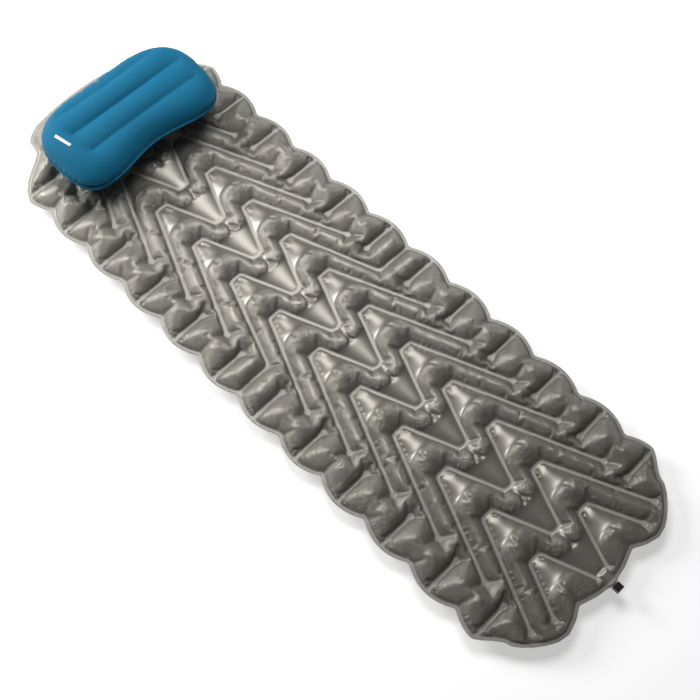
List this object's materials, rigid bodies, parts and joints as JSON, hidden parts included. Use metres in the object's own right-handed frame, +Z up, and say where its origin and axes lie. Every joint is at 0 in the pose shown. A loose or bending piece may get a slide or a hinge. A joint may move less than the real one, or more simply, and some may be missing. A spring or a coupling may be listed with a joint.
{
  "type": "inflatable camping mattress with pillow",
  "caption": "Inflatable camping mattress with V-shaped welded chambers and scalloped side rails, with a loose bean-shaped air pillow and push-pull valves.",
  "frame": {"origin": "on the ground, at the middle of the footprint", "axes": "+Y towards the head of the mattress, +Z up, +X to the right of a person looking from the foot to the head"},
  "size_m": [0.6104, 1.848, 0.1636],
  "materials": {
    "grey_fabric": "satin coated polyester",
    "blue_fabric": "matte coated polyester",
    "pale_rubber": "satin soft polymer",
    "grey_plastic": "satin moulded",
    "black_plastic": "satin moulded",
    "seal_rubber": "matte"
  },
  "bodies": {
    "mattress": {"mattress_top_panel": "grey_fabric", "mattress_bottom_panel": "grey_fabric", "mattress_valve_stem": "pale_rubber"},
    "mattress_valve_core": {"mattress_valve_core": "grey_plastic", "mattress_valve_core_seal": "seal_rubber", "mattress_valve_cap_seal": "seal_rubber"},
    "mattress_valve_cap": {"mattress_valve_cap": "black_plastic"},
    "pillow": {"pillow_top_panel": "blue_fabric", "pillow_bottom_panel": "blue_fabric", "pillow_web_front": "blue_fabric", "pillow_web_middle": "blue_fabric", "pillow_web_rear": "blue_fabric", "pillow_valve_body": "grey_plastic", "pillow_valve_seal": "seal_rubber"},
    "pillow_valve_cap": {"pillow_valve_cap": "black_plastic"}
  },
  "joints": [
    {"name": "mattress_valve_twist", "type": "hinge", "parent": "mattress", "child": "mattress_valve_core", "pos_m": [0, -0.90475, 0.032], "axis": [0, -1, 0], "range_deg": [0, 90]},
    {"name": "mattress_valve_pull", "type": "slide", "parent": "mattress_valve_core", "child": "mattress_valve_cap", "axis": [0, -1, 0], "range_m": [0, 0.006]},
    {"name": "pillow_lift", "type": "slide", "parent": "mattress", "child": "pillow", "axis": [0, 0, 1], "range_m": [0, 0.25]},
    {"name": "pillow_valve_pull", "type": "slide", "parent": "pillow", "child": "pillow_valve_cap", "axis": [0, 0.5159, -0.8566], "range_m": [0, 0.005]}
  ]
}
